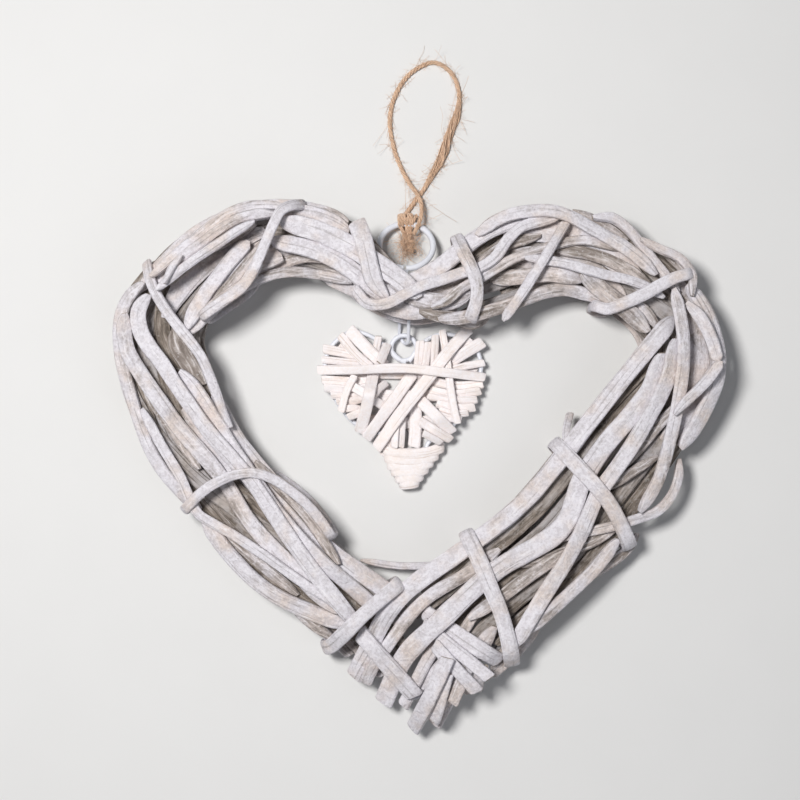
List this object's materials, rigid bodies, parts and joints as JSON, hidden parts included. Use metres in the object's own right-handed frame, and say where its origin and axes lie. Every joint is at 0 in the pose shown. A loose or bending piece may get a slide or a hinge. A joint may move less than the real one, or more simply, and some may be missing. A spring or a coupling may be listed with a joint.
{
  "type": "wicker heart wreath",
  "caption": "Heart-shaped wreath of whitewashed willow strips bound over a wire frame, with a small woven heart hanging in its middle and a jute loop.",
  "frame": {"origin": "centre of the wreath's box at its underside, without the twine", "axes": "+Z out of the wreath's front face, +Y towards the top of the heart, +X to the right seen from the front"},
  "size_m": [0.2816, 0.3143, 0.0363],
  "materials": {
    "whitewashed_willow": "dry brushed whitewash over split willow, with bare warm wood showing through",
    "cream_willow": "cream whitewash over thin willow strips",
    "white_wire": "white painted iron wire",
    "jute": "two-ply twisted jute twine with loose fibres"
  },
  "bodies": {
    "root": {"charm_binding": "cream_willow", "charm_frame": "white_wire", "charm_weave_back": "cream_willow", "charm_weave_front": "cream_willow", "cleft_cross_strip": "whitewashed_willow", "cleft_rim_strip": "whitewashed_willow", "cross_strip_behind_the_opening": "whitewashed_willow", "left_broad_strip": "whitewashed_willow", "left_cleft_binding": "whitewashed_willow", "left_cleft_strip": "whitewashed_willow", "left_inner_and_back_rods": "whitewashed_willow", "left_inner_rim": "whitewashed_willow", "left_inner_strip": "whitewashed_willow", "left_lobe_binding": "whitewashed_willow", "left_lobe_broad_strip": "whitewashed_willow", "left_lobe_crest_strip": "whitewashed_willow", "left_lobe_inner_rim": "whitewashed_willow", "left_lobe_inner_strip": "whitewashed_willow", "left_lobe_outer_rim": "whitewashed_willow", "left_lower_binding": "whitewashed_willow", "left_lower_inner_rim": "whitewashed_willow", "left_lower_outer_rim": "whitewashed_willow", "left_middle_binding": "whitewashed_willow", "left_outer_rim": "whitewashed_willow", "left_outer_strip": "whitewashed_willow", "left_second_strip": "whitewashed_willow", "left_shoulder_strip": "whitewashed_willow", "left_slanted_strip": "whitewashed_willow", "right_bowed_strip": "whitewashed_willow", "right_cleft_binding": "whitewashed_willow", "right_cleft_low_strip": "whitewashed_willow", "right_inner_and_back_rods": "whitewashed_willow", "right_inner_rim": "whitewashed_willow", "right_lobe_binding": "whitewashed_willow", "right_lobe_crest_strip": "whitewashed_willow", "right_lobe_inner_rim": "whitewashed_willow", "right_lobe_inner_strip": "whitewashed_willow", "right_lobe_outer_strip": "whitewashed_willow", "right_lobe_slanted_strip": "whitewashed_willow", "right_lobe_white_strip": "whitewashed_willow", "right_long_strip": "whitewashed_willow", "right_lower_binding": "whitewashed_willow", "right_lower_middle_strip": "whitewashed_willow", "right_lower_outer_rim": "whitewashed_willow", "right_middle_binding": "whitewashed_willow", "right_middle_strip": "whitewashed_willow", "right_outer_rim": "whitewashed_willow", "right_second_strip": "whitewashed_willow", "right_shaded_strip": "whitewashed_willow", "right_upright_strip": "whitewashed_willow", "tip_left_strip": "whitewashed_willow", "tip_low_strip": "whitewashed_willow", "tip_right_strip_1": "whitewashed_willow", "tip_right_strip_2": "whitewashed_willow", "tip_right_strip_3": "whitewashed_willow", "tip_top_strip": "whitewashed_willow", "twine": "jute", "twine_knot": "jute", "wire_frame": "white_wire", "wire_link": "white_wire"}
  },
  "joints": []
}
